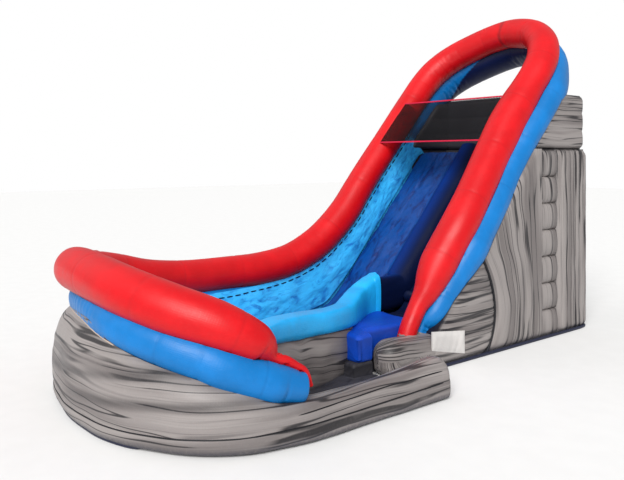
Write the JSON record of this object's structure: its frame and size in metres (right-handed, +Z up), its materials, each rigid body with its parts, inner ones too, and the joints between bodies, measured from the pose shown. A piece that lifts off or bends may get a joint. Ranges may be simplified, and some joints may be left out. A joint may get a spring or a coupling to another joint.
{
  "type": "inflatable water slide",
  "caption": "Inflatable water slide with a tall tower, a slide lane beside a climbing lane, an arch of tubes, a safety net and a curved splash pool.",
  "frame": {"origin": "on the ground under the middle of the tower, on the underside of the base chamber", "axes": "+X across the tower towards the entrance side, +Y from the pool towards the tower's rear, +Z up"},
  "size_m": [4.8451, 10.1992, 6.2141],
  "materials": {
    "red_vinyl": "coated PVC fabric, semi gloss, inflated tight with stitched seams",
    "light_blue_vinyl": "coated PVC fabric, semi gloss, inflated tight with stitched seams",
    "lane_blue_vinyl": "coated PVC fabric, smooth sliding surface, semi gloss",
    "royal_blue_vinyl": "coated PVC fabric, satin, padded entrance step",
    "grey_marble_vinyl": "coated PVC fabric printed with grey marble streaks, semi gloss",
    "dark_floor_vinyl": "coated PVC ground mat, matte",
    "black_net": "knotless polyester netting",
    "red_hem": "folded and stitched webbing hem"
  },
  "bodies": {
    "root": {"base_chamber": "grey_marble_vinyl", "deck": "lane_blue_vinyl", "rear_wall": "grey_marble_vinyl", "guard_wall_near": "grey_marble_vinyl", "guard_wall_far": "grey_marble_vinyl", "guard_wall_rear": "grey_marble_vinyl", "side_wall_near_front": "grey_marble_vinyl", "side_wall_near_middle": "grey_marble_vinyl", "side_wall_near_column": "grey_marble_vinyl", "side_wall_far_front": "grey_marble_vinyl", "side_wall_far_middle": "grey_marble_vinyl", "side_wall_far_column": "grey_marble_vinyl", "red_tube_near": "red_vinyl", "red_tube_arch": "red_vinyl", "red_tube_far": "red_vinyl", "red_tube_pool_side": "red_vinyl", "red_tube_pool_end": "red_vinyl", "blue_tube_near": "light_blue_vinyl", "blue_tube_arch": "light_blue_vinyl", "blue_tube_far": "light_blue_vinyl", "blue_tube_pool_side": "light_blue_vinyl", "blue_tube_pool_end": "light_blue_vinyl", "slide_bed": "lane_blue_vinyl", "slide_apron": "lane_blue_vinyl", "climb_bed": "lane_blue_vinyl", "climb_step_1": "lane_blue_vinyl", "climb_step_2": "lane_blue_vinyl", "climb_step_3": "lane_blue_vinyl", "climb_step_4": "lane_blue_vinyl", "climb_step_5": "lane_blue_vinyl", "climb_step_6": "lane_blue_vinyl", "climb_step_7": "lane_blue_vinyl", "lane_divider": "light_blue_vinyl", "splash_wall": "grey_marble_vinyl", "splash_wall_tube": "light_blue_vinyl", "pool_wall_far": "grey_marble_vinyl", "pool_wall_front": "grey_marble_vinyl", "pool_wall_corner": "grey_marble_vinyl", "low_wall": "grey_marble_vinyl", "pool_floor": "lane_blue_vinyl", "entrance_step": "royal_blue_vinyl", "entrance_floor": "dark_floor_vinyl", "safety_net": "black_net", "net_hem_upper": "red_hem", "net_hem_lower": "red_hem"}
  },
  "joints": []
}
